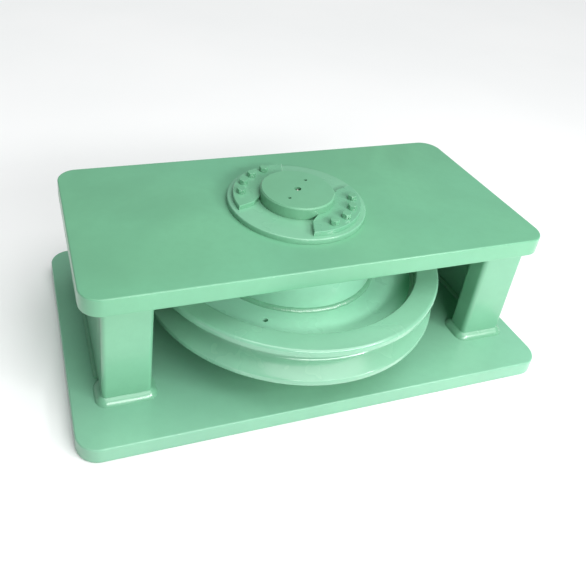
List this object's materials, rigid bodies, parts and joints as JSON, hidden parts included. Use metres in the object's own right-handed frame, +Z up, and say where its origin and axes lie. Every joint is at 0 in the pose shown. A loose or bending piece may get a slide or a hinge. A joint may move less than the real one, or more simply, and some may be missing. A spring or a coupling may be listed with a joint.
{
  "type": "fairlead chock",
  "caption": "Deck fairlead: a grooved rope sheave that turns on an upright pin, held by keeper plates, between a thick base plate and a top plate joined by corner posts and side plates.",
  "frame": {"origin": "centre of the base plate's underside, on the pin's axis", "axes": "+Z up along the pin, +X along the plates' long side, -Y to the front"},
  "size_m": [1.04, 0.676, 0.36],
  "materials": {
    "green_paint": "semi-gloss marine enamel, pale sea green",
    "bronze": "machined bearing bronze",
    "seal_rubber": "matt nitrile rubber",
    "nipple_steel": "zinc-plated steel"
  },
  "bodies": {
    "frame": {"base_plate": "green_paint", "top_plate": "green_paint", "post_front_left": "green_paint", "post_front_right": "green_paint", "post_rear_left": "green_paint", "post_rear_right": "green_paint", "post_foot_welds": "green_paint", "post_head_welds": "green_paint", "side_plate_left": "green_paint", "side_plate_right": "green_paint", "side_plate_welds": "green_paint", "upper_boss": "green_paint", "upper_distance_ring": "green_paint", "lower_boss": "green_paint", "lower_boss_weld": "green_paint", "upper_boss_weld": "green_paint", "main_pin": "green_paint", "grease_nipple": "nipple_steel", "keeper_plate_left": "green_paint", "keeper_plate_right": "green_paint", "keeper_lock_washers": "green_paint", "keeper_bolts": "green_paint", "thrust_washer_lower": "bronze", "thrust_washer_upper": "bronze"},
    "sheave": {"sheave_rim": "green_paint", "sheave_web": "green_paint", "sheave_hub": "green_paint", "hub_weld_upper": "green_paint", "hub_weld_lower": "green_paint", "rim_weld_upper": "green_paint", "rim_weld_lower": "green_paint", "bush_lower": "bronze", "bush_upper": "bronze", "dust_seal_lower": "seal_rubber", "dust_seal_upper": "seal_rubber"}
  },
  "joints": [
    {"name": "sheave_spin", "type": "hinge", "parent": "frame", "child": "sheave", "pos_m": [0, 0, 0.163], "axis": [0, 0, 1], "continuous": true}
  ]
}
